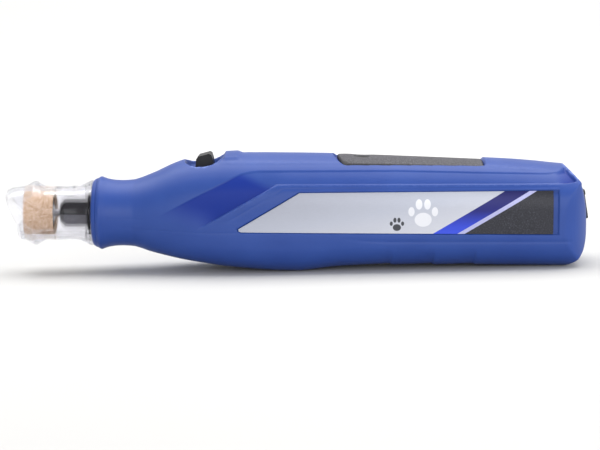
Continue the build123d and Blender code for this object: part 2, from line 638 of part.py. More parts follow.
with BuildPart() as hookup_wires_red:
    add(wire([(33, 4.25, 7.4), (33, 10.6, 7.4), (78.5, 10.6, 7.4), (83.5, 7.0, 7.6), (83.5, 7.0, 10.15)], [2.0, 2.5, 1.1]))
    add(wire([(33, -4.25, 7.4), (33, -10.6, 7.4), (68.2, -10.6, 7.4), (68.2, -10.2, 0.4), (68.2, -7.25, 0.4)], [2.0, 2.0, 1.2]))

with BuildPart() as hookup_wires_black:
    add(wire([(68.2, 7.25, 0.4), (68.2, 11.4, 0.4), (79.0, 11.4, 3.4), (88.5, 7.0, 7.9), (88.5, 7.0, 10.15)], [2.0, 3.0, 1.0]))

# ---------------------------------------------------------------- files
PIECES = {
    "housing_left": housing_left, "housing_right": housing_right, "housing_screws": housing_screws,
    "nose_collar": nose_collar, "nail_guard": nail_guard, "side_label_left": side_label_left,
    "side_label_right": side_label_right, "top_grip_inlay": top_grip_inlay, "indicator_lens": indicator_lens,
    "port_cover": port_cover, "switch_button": switch_button, "switch_slider": switch_slider,
    "switch_body": switch_body, "front_bearing_outer": front_bearing_outer,
    "front_bearing_inner": front_bearing_inner, "bearing_balls": bearing_balls, "rear_bush": rear_bush,
    "spindle": spindle, "collet": collet, "collet_nut": collet_nut, "dust_seal": dust_seal, "mandrel": mandrel,
    "drum_rubber": drum_rubber, "drum_screw": drum_screw, "sanding_band": sanding_band,
    "shaft_coupling": shaft_coupling, "motor_can": motor_can, "motor_end_cap": motor_end_cap,
    "motor_bushes": motor_bushes, "motor_shaft": motor_shaft, "motor_magnets": motor_magnets,
    "armature_core": armature_core, "armature_windings": armature_windings, "commutator": commutator,
    "motor_brushes": motor_brushes, "motor_terminals": motor_terminals, "battery_cell": battery_cell,
    "battery_tabs": battery_tabs, "foam_pad": foam_pad, "control_board": control_board,
    "board_components": board_components, "status_led": status_led, "charge_board": charge_board,
    "charging_socket": charging_socket, "hookup_wires_red": hookup_wires_red,
    "hookup_wires_black": hookup_wires_black,
}
for piece_name, piece in PIECES.items():
    write(piece, piece_name)
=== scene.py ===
import bpy
import bmesh
import json
import math
import numpy as np
from mathutils import Vector, Matrix

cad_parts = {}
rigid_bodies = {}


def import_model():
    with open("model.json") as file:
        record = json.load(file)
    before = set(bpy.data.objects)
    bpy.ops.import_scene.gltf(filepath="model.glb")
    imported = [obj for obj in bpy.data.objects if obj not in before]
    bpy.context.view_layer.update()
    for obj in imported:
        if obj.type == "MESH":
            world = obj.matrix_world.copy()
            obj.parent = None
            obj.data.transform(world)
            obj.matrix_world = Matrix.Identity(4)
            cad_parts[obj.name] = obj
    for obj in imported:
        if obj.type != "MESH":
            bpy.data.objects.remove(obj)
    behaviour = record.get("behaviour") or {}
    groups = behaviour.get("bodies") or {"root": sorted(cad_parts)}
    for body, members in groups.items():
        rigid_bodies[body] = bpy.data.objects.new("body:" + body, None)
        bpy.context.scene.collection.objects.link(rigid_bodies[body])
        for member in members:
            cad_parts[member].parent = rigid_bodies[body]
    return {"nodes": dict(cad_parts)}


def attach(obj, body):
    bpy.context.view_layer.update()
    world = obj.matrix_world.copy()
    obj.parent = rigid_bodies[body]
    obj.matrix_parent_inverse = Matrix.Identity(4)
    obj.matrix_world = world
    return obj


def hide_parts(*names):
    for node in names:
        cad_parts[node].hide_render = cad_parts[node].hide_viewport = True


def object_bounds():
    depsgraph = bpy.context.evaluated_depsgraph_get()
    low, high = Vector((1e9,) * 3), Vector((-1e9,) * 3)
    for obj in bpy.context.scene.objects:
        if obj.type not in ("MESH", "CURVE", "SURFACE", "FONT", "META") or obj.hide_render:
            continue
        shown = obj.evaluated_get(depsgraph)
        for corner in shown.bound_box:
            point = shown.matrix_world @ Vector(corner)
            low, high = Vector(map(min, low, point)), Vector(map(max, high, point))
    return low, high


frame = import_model()
CAD_BOX = [list(map(float, c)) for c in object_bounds()]

# ------------------------------------------------------------------ frame of the tool
# The spindle axis runs along s; the tool lies TILT degrees nose-up on its rest plane.
TILT = math.radians(1.2)
REST_Z, MID_X = 18.55, 64.36
CT, ST = math.cos(TILT), math.sin(TILT)


def place(p):
    """Tool frame (s, y, z) in mm, one row per point, to the shared frame in metres."""
    p = np.asarray(p, dtype=float)
    q = np.empty_like(p)
    q[..., 0] = (p[..., 0] * CT + p[..., 2] * ST - MID_X) / 1000
    q[..., 1] = p[..., 1] / 1000
    q[..., 2] = (-p[..., 0] * ST + p[..., 2] * CT + REST_Z) / 1000
    return q


def lin(c):
    """sRGB 0-255 to linear."""
    out = []
    for v in c:
        v = v / 255
        out.append(v / 12.92 if v <= 0.04045 else ((v + 0.055) / 1.055) ** 2.4)
    return (*out, 1.0)


# ------------------------------------------------------------------ materials
def new_mat(name):
    m = bpy.data.materials.new(name)
    m.use_nodes = True
    nt = m.node_tree
    nt.nodes.clear()
    out = nt.nodes.new("ShaderNodeOutputMaterial")
    bsdf = nt.nodes.new("ShaderNodeBsdfPrincipled")
    nt.links.new(bsdf.outputs[0], out.inputs[0])
    return m, nt, bsdf


def coords(nt, scale=(1, 1, 1)):
    tc = nt.nodes.new("ShaderNodeTexCoord")
    mp = nt.nodes.new("ShaderNodeMapping")
    mp.inputs["Scale"].default_value = scale
    nt.links.new(tc.outputs["Object"], mp.inputs["Vector"])
    return mp.outputs[0]


def noise(nt, vec, scale, detail=3.0, rough=0.55):
    n = nt.nodes.new("ShaderNodeTexNoise")
    n.inputs["Scale"].default_value = scale
    n.inputs["Detail"].default_value = detail
    n.inputs["Roughness"].default_value = rough
    nt.links.new(vec, n.inputs["Vector"])
    return n.outputs["Fac"]


def ramp(nt, fac, stops):
    r = nt.nodes.new("ShaderNodeValToRGB")
    r.color_ramp.interpolation = "LINEAR"
    el = r.color_ramp.elements
    el[0].position, el[0].color = stops[0]
    el[1].position, el[1].color = stops[-1]
    for pos, col in stops[1:-1]:
        e = el.new(pos)
        e.color = col
    nt.links.new(fac, r.inputs[0])
    return r.outputs[0]


def bump(nt, bsdf, height, strength, dist):
    b = nt.nodes.new("ShaderNodeBump")
    b.inputs["Strength"].default_value = strength
    b.inputs["Distance"].default_value = dist
    nt.links.new(height, b.inputs["Height"])
    nt.links.new(b.outputs[0], bsdf.inputs["Normal"])
    return b


def surface(name, low, high, scale, rough, rough_vary=0.06, metallic=0.0, bump_scale=None, bump_strength=0.15,
            bump_dist=0.00005, spec=0.5, coat=0.0, coat_rough=0.1, stretch=(1, 1, 1), sheen=0.0):
    """Varied colour, varied roughness and a fine bump, all from noise in object space."""
    m, nt, b = new_mat(name)
    v = coords(nt, stretch)
    f = noise(nt, v, scale, 4.0)
    nt.links.new(ramp(nt, f, [(0.3, low), (0.7, high)]), b.inputs["Base Color"])
    g = noise(nt, v, scale * 2.3, 5.0)
    rr = nt.nodes.new("ShaderNodeMapRange")
    rr.inputs["To Min"].default_value = max(0.02, rough - rough_vary)
    rr.inputs["To Max"].default_value = min(1.0, rough + rough_vary)
    nt.links.new(g, rr.inputs["Value"])
    nt.links.new(rr.outputs[0], b.inputs["Roughness"])
    b.inputs["Metallic"].default_value = metallic
    b.inputs["Specular IOR Level"].default_value = spec
    b.inputs["Coat Weight"].default_value = coat
    b.inputs["Coat Roughness"].default_value = coat_rough
    b.inputs["Sheen Weight"].default_value = sheen
    h = noise(nt, v, bump_scale or scale * 8, 4.0, 0.6)
    bump(nt, b, h, bump_strength, bump_dist)
    return m


def math_node(nt, op, *args, clamp=False):
    n = nt.nodes.new("ShaderNodeMath")
    n.operation = op
    n.use_clamp = clamp
    for i, a in enumerate(args):
        if isinstance(a, (int, float)):
            n.inputs[i].default_value = a
        else:
            nt.links.new(a, n.inputs[i])
    return n.outputs[0]


def vmath(nt, op, a, b=None):
    n = nt.nodes.new("ShaderNodeVectorMath")
    n.operation = op
    for i, v in enumerate((a, b)):
        if v is None:
            continue
        if isinstance(v, tuple):
            n.inputs[i].default_value = v
        else:
            nt.links.new(v, n.inputs[i])
    return n.outputs["Value" if op in ("DOT_PRODUCT", "LENGTH") else "Vector"]


def mix(nt, fac, a, b):
    n = nt.nodes.new("ShaderNodeMix")
    n.data_type = "RGBA"
    for sock, v in ((n.inputs[0], fac), (n.inputs[6], a), (n.inputs[7], b)):
        if isinstance(v, (int, float, tuple)):
            sock.default_value = v
        else:
            nt.links.new(v, sock)
    return n.outputs[2]


def smooth(nt, x, lo, hi):
    n = nt.nodes.new("ShaderNodeMapRange")
    n.interpolation_type = "SMOOTHSTEP"
    n.inputs["From Min"].default_value = lo
    n.inputs["From Max"].default_value = hi
    nt.links.new(x, n.inputs["Value"])
    return n.outputs[0]


def tool_coords(nt):
    """Tool coordinates s and z in mm, from the object's own coordinates."""
    tc = nt.nodes.new("ShaderNodeTexCoord").outputs["Object"]
    s = math_node(nt, "ADD", vmath(nt, "DOT_PRODUCT", tc, (1000 * CT, 0, -1000 * ST)), MID_X * CT + REST_Z * ST)
    z = math_node(nt, "ADD", vmath(nt, "DOT_PRODUCT", tc, (1000 * ST, 0, 1000 * CT)), MID_X * ST - REST_Z * CT)
    return s, z


M = {}


def blue_moulded():
    """Satin moulded plastic: fine spark-eroded grain, faint flow mottle, painted shade (a darker, less specular blue)
    on the scallop facet, and painted highlights (a paler, slightly glossier blue) along edges, broken up by noise.
    """
    m, nt, b = new_mat("blue_moulded")
    v = coords(nt)
    col = ramp(nt, noise(nt, v, 55, 4.0), [(0.3, lin((35, 64, 136))), (0.7, lin((41, 71, 144)))])
    painted_shade = nt.nodes.new("ShaderNodeAttribute")
    painted_shade.attribute_name = "painted_shade"
    edge_highlight = nt.nodes.new("ShaderNodeAttribute")
    edge_highlight.attribute_name = "edge_highlight"
    # painted highlight: a paler blue, a little glossier, mixed in along edges and broken up by noise
    mottle_and_sheen = math_node(nt, "MULTIPLY", edge_highlight.outputs["Fac"], smooth(nt, noise(nt, v, 700, 5.0, 0.65), 0.35, 0.75), clamp=True)
    # painted shade: a darker blue on the scallop facet, its scooped tail end and the inlay pocket; the specular level
    # is lowered there too
    col = mix(nt, painted_shade.outputs["Fac"], col, lin((25, 48, 131)))
    col = mix(nt, math_node(nt, "MULTIPLY", mottle_and_sheen, 0.6), col, lin((100, 124, 196)))
    nt.links.new(col, b.inputs["Base Color"])
    g = noise(nt, v, 140, 5.0)
    rr = nt.nodes.new("ShaderNodeMapRange")
    rr.inputs["To Min"].default_value = 0.36
    rr.inputs["To Max"].default_value = 0.46
    nt.links.new(g, rr.inputs["Value"])
    nt.links.new(math_node(nt, "SUBTRACT", rr.outputs[0], math_node(nt, "MULTIPLY", mottle_and_sheen, 0.08)), b.inputs["Roughness"])
    nt.links.new(math_node(nt, "SUBTRACT", 0.29, math_node(nt, "MULTIPLY", painted_shade.outputs["Fac"], 0.18)), b.inputs["Specular IOR Level"])
    bump(nt, b, noise(nt, v, 5200, 4.0, 0.6), 0.12, 0.00003)
    return m


M["blue"] = blue_moulded()
M["black_rubber"] = surface("black_rubber", lin((26, 26, 28)), lin((38, 38, 41)), 300, 0.62, 0.08, bump_scale=6000, bump_strength=0.2)
M["charcoal"] = surface("charcoal_plastic", lin((14, 14, 17)), lin((22, 22, 26)), 200, 0.46, 0.06, spec=0.28, bump_scale=6000, bump_strength=0.12)
M["black_plastic"] = surface("black_plastic", lin((24, 24, 26)), lin((34, 34, 37)), 200, 0.45, 0.06, bump_scale=5000)
M["steel"] = surface("turned_steel", lin((150, 150, 154)), lin((188, 188, 192)), 900, 0.28, 0.08, metallic=1.0, bump_scale=4000,
                     bump_strength=0.12, bump_dist=0.00002, stretch=(6, 1, 1))
M["bronze"] = surface("sintered_bronze", lin((168, 128, 70)), lin((196, 154, 92)), 900, 0.45, 0.08, metallic=1.0, bump_scale=7000)


def nut_finish():
    """Blackened steel with painted light: flats above the axis painted dark as shade, flats below it painted grey as
    the reflection of the lit floor.
    """
    m, nt, b = new_mat("black_oxide")
    v = coords(nt)
    _, z = tool_coords(nt)
    mottle_and_sheen = noise(nt, v, 900, 4.0, 0.65)
    # painted shade above the axis, painted reflection below it, with a noisy boundary
    shaded_half = smooth(nt, math_node(nt, "ADD", z, math_node(nt, "MULTIPLY", math_node(nt, "SUBTRACT", mottle_and_sheen, 0.5), 0.3)), -0.2, 0.1)
    grey = ramp(nt, mottle_and_sheen, [(0.3, lin((88, 88, 94))), (0.7, lin((122, 122, 128)))])
    dark = ramp(nt, mottle_and_sheen, [(0.3, lin((17, 16, 20))), (0.72, lin((34, 33, 39)))])
    nt.links.new(mix(nt, shaded_half, grey, dark), b.inputs["Base Color"])
    rr = nt.nodes.new("ShaderNodeMapRange")
    rr.inputs["To Min"].default_value = 0.4
    rr.inputs["To Max"].default_value = 0.55
    nt.links.new(mottle_and_sheen, rr.inputs["Value"])
    nt.links.new(rr.outputs[0], b.inputs["Roughness"])
    b.inputs["Specular IOR Level"].default_value = 0.25
    bump(nt, b, noise(nt, v, 5200, 2.0), 0.12, 0.00002)
    return m


M["zinc"] = surface("zinc_plated", lin((170, 172, 176)), lin((200, 201, 204)), 400, 0.32, 0.08, metallic=1.0, bump_scale=4000)
M["ferrite"] = surface("ferrite", lin((44, 44, 47)), lin((60, 60, 64)), 900, 0.7, 0.06, bump_scale=5000)
M["copper"] = surface("enamelled_copper", lin((150, 78, 42)), lin((190, 108, 62)), 1800, 0.35, 0.08, metallic=0.8, bump_scale=3000,
                      bump_strength=0.5, bump_dist=0.0001, stretch=(1, 5, 5))
M["cell"] = surface("cell_sleeve", lin((24, 104, 96)), lin((30, 118, 108)), 200, 0.3, 0.05, coat=0.2, bump_scale=2500)
M["foam"] = surface("foam", lin((22, 22, 22)), lin((40, 40, 40)), 1500, 0.95, 0.03, bump_scale=3500, bump_strength=0.8, bump_dist=0.0002)
M["board"] = surface("solder_mask", lin((16, 84, 48)), lin((22, 98, 56)), 700, 0.32, 0.05, coat=0.3, bump_scale=3000)
M["led"] = surface("led_package", lin((222, 222, 205)), lin((238, 238, 225)), 600, 0.3, 0.05, bump_scale=3000)
M["red"] = surface("red_wire", lin((150, 22, 18)), lin((172, 30, 24)), 500, 0.35, 0.05, bump_scale=3000)
M["black"] = surface("black_wire", lin((18, 18, 19)), lin((28, 28, 30)), 500, 0.35, 0.05, bump_scale=3000)


def clear_plastic():
    m, nt, b = new_mat("clear_plastic")
    v = coords(nt)
    f = noise(nt, v, 120, 3.0)
    nt.links.new(ramp(nt, f, [(0.3, lin((238, 238, 243))), (0.7, lin((246, 246, 250)))]), b.inputs["Base Color"])
    g = noise(nt, v, 400, 4.0)
    rr = nt.nodes.new("ShaderNodeMapRange")
    rr.inputs["To Min"].default_value = 0.02
    rr.inputs["To Max"].default_value = 0.06
    nt.links.new(g, rr.inputs["Value"])
    nt.links.new(rr.outputs[0], b.inputs["Roughness"])
    b.inputs["Transmission Weight"].default_value = 1.0
    b.inputs["IOR"].default_value = 1.28
    bump(nt, b, noise(nt, v, 260, 3.0), 0.06, 0.0002)
    # thin wall: part of the light passes straight through
    through = nt.nodes.new("ShaderNodeBsdfTransparent")
    through.inputs["Color"].default_value = (0.955, 0.955, 0.97, 1)
    both = nt.nodes.new("ShaderNodeMixShader")
    nt.links.new(math_node(nt, "ADD", 0.42, math_node(nt, "MULTIPLY", f, 0.12)), both.inputs[0])
    nt.links.new(b.outputs[0], both.inputs[1])
    nt.links.new(through.outputs[0], both.inputs[2])
    out = next(n for n in nt.nodes if n.type == "OUTPUT_MATERIAL")
    nt.links.new(both.outputs[0], out.inputs["Surface"])
    return m


M["clear"] = clear_plastic()


def abrasive():
    m, nt, b = new_mat("abrasive_paper")
    v = coords(nt)
    grit = noise(nt, v, 3000, 4.0, 0.8)
    mottle = noise(nt, v, 1100, 3.0)
    mx = nt.nodes.new("ShaderNodeMath")
    mx.operation = "MULTIPLY_ADD"
    mx.inputs[1].default_value = 0.25
    nt.links.new(mottle, mx.inputs[0])
    nt.links.new(grit, mx.inputs[2])
    nt.links.new(ramp(nt, mx.outputs[0], [(0.44, lin((140, 98, 66))), (0.61, lin((208, 171, 137))), (0.78, lin((250, 236, 218)))]),
                 b.inputs["Base Color"])
    b.inputs["Roughness"].default_value = 0.85
    bump(nt, b, grit, 0.7, 0.00012)
    return m


M["abrasive"] = abrasive()
def soft_grip():
    m, nt, b = new_mat("soft_grey_inlay")
    v = coords(nt)
    grain = noise(nt, v, 2300, 4.0, 0.7)
    rim = nt.nodes.new("ShaderNodeAttribute")
    rim.attribute_name = "rim"
    face = ramp(nt, grain, [(0.34, lin((44, 43, 48))), (0.5, lin((66, 65, 71))), (0.66, lin((96, 95, 101)))])
    # painted shade: darker along the inlay's rolled edges and on its sides and underside
    nt.links.new(mix(nt, math_node(nt, "MULTIPLY", rim.outputs["Fac"], 0.8), face, lin((16, 16, 20))), b.inputs["Base Color"])
    rr = nt.nodes.new("ShaderNodeMapRange")
    rr.inputs["To Min"].default_value = 0.55
    rr.inputs["To Max"].default_value = 0.7
    nt.links.new(grain, rr.inputs["Value"])
    nt.links.new(rr.outputs[0], b.inputs["Roughness"])
    b.inputs["Specular IOR Level"].default_value = 0.35
    bump(nt, b, noise(nt, v, 3600, 2.0), 0.5, 0.00006)
    return m


M["inlay"] = soft_grip()
M["black_oxide"] = nut_finish()
M["lens"] = surface("smoked_lens", lin((12, 12, 15)), lin((19, 19, 23)), 600, 0.55, 0.06, spec=0.18, bump_scale=2500, bump_strength=0.05)


def label_film():
    """Printed metallic film: brushed silver field, slanted stripes, grey end and two plain paw prints."""
    m, nt, b = new_mat("label_film")
    s, z = tool_coords(nt)
    v = coords(nt, (30, 1, 400))
    brushed = noise(nt, v, 30, 5.0, 0.6)
    speck = noise(nt, coords(nt), 2600, 3.0, 0.7)
    along = math_node(nt, "MULTIPLY", math_node(nt, "SUBTRACT", s, 47.0), 1 / 70.0, clamp=True)
    down = math_node(nt, "MULTIPLY", math_node(nt, "SUBTRACT", 8.7, z), 1 / 13.3, clamp=True)
    tone = math_node(nt, "ADD", math_node(nt, "MULTIPLY", along, 0.45), math_node(nt, "MULTIPLY", down, 0.45))
    tone = math_node(nt, "ADD", tone, math_node(nt, "MULTIPLY", math_node(nt, "SUBTRACT", brushed, 0.5), 0.22))
    silver = ramp(nt, tone, [(0.0, lin(SILVER[0])), (0.5, lin(SILVER[1])), (1.0, lin(SILVER[2]))])
    slant = math_node(nt, "SUBTRACT", s, math_node(nt, "MULTIPLY", math_node(nt, "ADD", z, 4.25), 1.692))
    stripe = ramp(nt, down, [(0.0, lin((20, 20, 84))), (0.45, lin((24, 28, 108))), (0.8, lin((46, 66, 190))), (1.0, lin((54, 78, 208)))])
    grey = ramp(nt, math_node(nt, "ADD", speck, math_node(nt, "MULTIPLY", down, 0.10)),
                [(0.3, lin((28, 29, 36))), (0.62, lin((43, 44, 52))), (0.85, lin((76, 77, 87)))])

    def paw(cs, cz, size):
        best = None
        p = nt.nodes.new("ShaderNodeCombineXYZ")
        nt.links.new(s, p.inputs[0])
        nt.links.new(z, p.inputs[1])
        for du_, dv_, ru, rv in ((0, -0.28, 0.46, 0.38), (-0.64, 0.16, 0.17, 0.25), (-0.23, 0.56, 0.18, 0.28),
                                 (0.23, 0.56, 0.18, 0.28), (0.64, 0.16, 0.17, 0.25)):
            q = vmath(nt, "SUBTRACT", p.outputs[0], (cs + du_ * size, cz + dv_ * size, 0.0))
            d = vmath(nt, "LENGTH", vmath(nt, "MULTIPLY", q, (1 / (ru * size), 1 / (rv * size), 0.0)))
            best = d if best is None else math_node(nt, "MINIMUM", best, d)
        return math_node(nt, "SUBTRACT", 1.0, smooth(nt, best, 0.97, 1.05))

    col = mix(nt, math_node(nt, "MULTIPLY", paw(103.2, 1.6, 5.6), 0.9), silver, lin(SILVER[3]))
    col = mix(nt, paw(95.2, -1.6, 2.7), col, lin((62, 64, 70)))
    col = mix(nt, smooth(nt, slant, 106.2, 106.4), col, stripe)
    col = mix(nt, smooth(nt, slant, 113.75, 113.95), col, lin((164, 166, 206)))
    col = mix(nt, smooth(nt, slant, 116.0, 116.2), col, grey)
    nt.links.new(col, b.inputs["Base Color"])
    rr = nt.nodes.new("ShaderNodeMapRange")
    rr.inputs["To Min"].default_value = 0.30
    rr.inputs["To Max"].default_value = 0.44
    nt.links.new(brushed, rr.inputs["Value"])
    nt.links.new(rr.outputs[0], b.inputs["Roughness"])
    b.inputs["Metallic"].default_value = 0.15
    b.inputs["Specular IOR Level"].default_value = 0.3
    bump(nt, b, speck, 0.06, 0.00002)
    return m


SILVER = ((137, 139, 151), (169, 173, 186), (203, 204, 211), (214, 215, 221))
M["label"] = label_film()

NODE_MAT = {
    "blue": ["housing_left", "housing_right", "nose_collar"],
    "steel": ["housing_screws", "front_bearing_outer", "front_bearing_inner", "bearing_balls", "spindle", "collet", "mandrel",
              "drum_screw", "motor_shaft"],
    "clear": ["nail_guard"], "label": ["side_label_left", "side_label_right"], "inlay": ["top_grip_inlay"],
    "lens": ["indicator_lens"], "black_rubber": ["port_cover", "dust_seal", "drum_rubber"],
    "charcoal": ["switch_button", "switch_slider"], "black_plastic": ["switch_body", "shaft_coupling", "motor_end_cap", "board_components"],
    "bronze": ["rear_bush", "motor_bushes", "motor_brushes", "motor_terminals"], "black_oxide": ["collet_nut"],
    "abrasive": ["sanding_band"], "zinc": ["motor_can", "armature_core", "battery_tabs", "charging_socket"],
    "ferrite": ["motor_magnets"], "copper": ["armature_windings", "commutator"], "cell": ["battery_cell"], "foam": ["foam_pad"],
    "board": ["control_board", "charge_board"], "led": ["status_led"], "red": ["hookup_wires_red"], "black": ["hookup_wires_black"],
}


def cad_object(node):
    """The object that holds a CAD node's mesh."""
    n = frame["nodes"][node]
    return n if isinstance(n, bpy.types.Object) else bpy.data.objects[n]


for key, nodes in NODE_MAT.items():
    for node in nodes:
        ob = cad_object(node)
        if not ob.material_slots:
            ob.data.materials.append(M[key])
        for sl in ob.material_slots:
            sl.material = M[key]

# ------------------------------------------------------------------ housing shells
# (s, top, bottom, half width) of the housing about the spindle axis, mm
FORM = np.array([
    (2.30, 10.95, -10.95, 10.95), (3.34, 11.46, -11.46, 11.46), (4.41, 11.10, -11.10, 11.10),
    (5.67, 10.72, -10.72, 10.72), (8.19, 10.36, -10.36, 10.36), (10.08, 10.30, -10.30, 10.30),
    (13.23, 10.49, -10.49, 10.49), (15.75, 11.17, -11.14, 11.15), (18.27, 12.15, -12.00, 11.95),
    (20.79, 13.22, -12.67, 12.70), (23.31, 14.42, -13.27, 13.40), (25.83, 15.59, -13.80, 14.05),
    (28.35, 16.55, -14.29, 14.60), (30.87, 17.22, -14.68, 15.10), (33.39, 17.66, -14.99, 15.50),
    (35.91, 17.98, -15.27, 15.80), (38.43, 18.24, -15.57, 16.10), (42.21, 18.57, -15.97, 16.50),
    (45.99, 18.76, -16.29, 16.80), (49.77, 18.87, -16.64, 17.00), (54.81, 18.87, -17.02, 17.15),
    (59.85, 18.83, -17.27, 17.20), (64.89, 18.79, -17.32, 17.20), (69.93, 18.73, -16.86, 17.20),
    (74.97, 18.63, -16.17, 17.15), (80.01, 18.50, -15.72, 17.10), (88.52, 18.28, -15.50, 17.05),
    (97.02, 18.06, -15.41, 16.97), (105.53, 17.83, -15.38, 16.90), (114.03, 17.58, -15.38, 16.80),
    (122.85, 17.30, -15.44, 16.70), (131.67, 16.87, -15.51, 16.52), (137.97, 16.39, -15.57, 16.40),
    (144.27, 15.88, -15.66, 16.22), (150.0, 15.40, -15.72, 16.05), (160.0, 14.55, -15.80, 15.80)])
BODY_HALF = [
    (0.0, 18.70), (3.6, 18.43), (7.2, 17.62), (9.6, 16.72), (10.9, 15.95), (12.1, 15.02),
    (13.3, 13.85), (14.6, 12.30), (15.8, 10.35), (16.55, 8.40), (17.02, 5.60), (17.18, 2.30),
    (17.2, -1.0), (17.18, -4.2), (17.02, -7.4), (16.36, -10.66), (13.98, -14.23), (10.41, -16.61),
    (6.2, -17.45), (3.0, -17.52), (0.0, -17.52)]


def hermite(xs, ys, x, slopes):
    xs, ys = np.asarray(xs, float), np.asarray(ys, float)
    i = np.clip(np.searchsorted(xs, x) - 1, 0, len(xs) - 2)
    h = xs[i + 1] - xs[i]
    u = (x - xs[i]) / h
    a, b = slopes[i] * h, slopes[i + 1] * h
    return (ys[i] * (1 + 2 * u) * (1 - u) ** 2 + a * u * (1 - u) ** 2
            + ys[i + 1] * u * u * (3 - 2 * u) - b * u * u * (1 - u))


def harmonic(xs, ys):
    d = np.diff(ys) / np.diff(xs)
    m = np.zeros(len(xs))
    m[0], m[-1] = d[0], d[-1]
    for j in range(1, len(xs) - 1):
        m[j] = 0.0 if d[j - 1] * d[j] <= 0 else 2 * d[j - 1] * d[j] / (d[j - 1] + d[j])
    return m


FORM_SLOPES = [harmonic(FORM[:, 0], FORM[:, c]) for c in (1, 2, 3)]
_tk = []
for _y, _z in BODY_HALF:
    _v = (_z + 1.0) / (19.70 if _z >= -1.0 else 16.52)
    _tk.append((math.atan2(_y / 17.2, _v), math.hypot(_y / 17.2, _v)))
TK = np.array(_tk)
TS = np.zeros(len(TK))
TS[1:-1] = (TK[2:, 1] - TK[:-2, 1]) / (TK[2:, 0] - TK[:-2, 0])


def sstep(a, b, x):
    u = np.clip((x - a) / (b - a), 0, 1)
    return u * u * (3 - 2 * u)


def hull(s, th):
    """(y, z) of the plain housing form; th from the crown (0) to the sole (pi)."""
    t = sstep(12.0, 45.0, s)
    r = 1 + t * (hermite(TK[:, 0], TK[:, 1], th, TS) - 1)
    top, bot, half = (hermite(FORM[:, 0], FORM[:, c], s, FORM_SLOPES[c - 1]) for c in (1, 2, 3))
    mid = -1.0 * t
    v = r * np.cos(th)
    return half * r * np.sin(th), mid + v * np.where(v >= 0, top - mid, mid - bot)


END_Z = np.array([(-18.5, 134.0), (-17.4, 141.0), (-16.2, 146.6), (-13.5, 151.2), (-9.4, 154.0), (-5.2, 154.9), (-0.5, 154.8),
                  (6.6, 153.45), (10.9, 151.75), (16.6, 146.9), (20.0, 143.6)])
END_ZS = harmonic(END_Z[:, 0], END_Z[:, 1])
END_Y = np.array([(0.0, 155.3), (5.0, 155.15), (8.0, 154.5), (11.2, 152.9), (14.9, 149.6), (16.6, 145.8), (18.0, 138.0)])
END_YS = harmonic(END_Y[:, 0], END_Y[:, 1])
END_YS[0] = 0.0


def tail_s(y, z):
    a = hermite(END_Z[:, 0], END_Z[:, 1], np.clip(z, -18.4, 19.9), END_ZS)
    a = np.where(z > 9.6, np.minimum(152.35, 152.1 - (z - 10.9) * 0.88), a)
    b = hermite(END_Y[:, 0], END_Y[:, 1], np.clip(np.abs(y), 0, 17.9), END_YS)
    k = 0.9
    h = np.clip(0.5 + 0.5 * (b - a) / k, 0, 1)
    return b * (1 - h) + a * h - k * h * (1 - h)


def poly_sdf(px, pz, poly):
    """Signed distance to a closed polygon, negative inside."""
    d = np.full(px.shape, 1e9)
    inside = np.zeros(px.shape, bool)
    n = len(poly)
    for i in range(n):
        ax, az = poly[i]
        bx, bz = poly[(i + 1) % n]
        ex, ez = bx - ax, bz - az
        w = np.clip(((px - ax) * ex + (pz - az) * ez) / (ex * ex + ez * ez), 0, 1)
        d = np.minimum(d, np.hypot(px - ax - w * ex, pz - az - w * ez))
        cond = (az > pz) != (bz > pz)
        with np.errstate(divide="ignore", invalid="ignore"):
            xi = ax + (pz - az) / (ez if ez else 1e-9) * ex
        inside ^= cond & (px < xi)
    return np.where(inside, -d, d)


def line_dist(px, pz, pts):
    d = np.full(px.shape, 1e9)
    for (ax, az), (bx, bz) in zip(pts, pts[1:]):
        ex, ez = bx - ax, bz - az
        w = np.clip(((px - ax) * ex + (pz - az) * ez) / (ex * ex + ez * ez), 0, 1)
        d = np.minimum(d, np.hypot(px - ax - w * ex, pz - az - w * ez))
    return d


RECESS = [(46.3, -2.9), (65.4, 8.35), (144.8, 8.95), (144.8, -4.75), (47.6, -4.05), (46.4, -3.6)]
SC_UP = [(20.5, 0.2), (23.3, 1.5), (32.2, 6.3), (40.4, 10.5), (45.2, 12.9), (47.3, 13.8), (50.0, 14.4), (52.9, 14.7),
         (94.8, 14.8), (117.9, 14.3), (141.5, 13.8), (144.6, 14.1), (146.6, 14.8), (148.6, 16.0)]
SC_LOW = [(33.0, -4.1), (37.0, -1.8), (58.5, 10.5), (147.0, 10.6), (150.0, 11.0), (153.0, 12.6)]
SC_POLY = SC_UP + SC_LOW[::-1]
FACET = [(39.6, -2.9), (60.6, 9.35), (144.8, 9.75)]
CREASE = [(76, -5.2), (80, -6.0), (85.5, -6.6), (93, -6.85), (151, -6.9)]
SEATS = [(24.6, 8.4), (27.0, -8.8), (70.3, 11.6), (70.3, -11.6), (146.0, -9.0)]
PORT = (154.28, 3.25, math.radians(9.5))


def boat_sdf(s, y):
    """Plan outline of the thumb recess."""
    ks = np.array([(29.0, 0.0), (30.0, 4.8), (31.4, 7.4), (33.4, 8.8), (36.0, 9.4), (38.2, 9.2), (40.0, 8.0), (41.6, 5.4), (42.7, 0.0)])
    half = np.interp(s, ks[:, 0], ks[:, 1], left=-3, right=-3)
    return np.maximum(np.abs(y) - half, np.maximum(29.0 - s, s - 42.7))


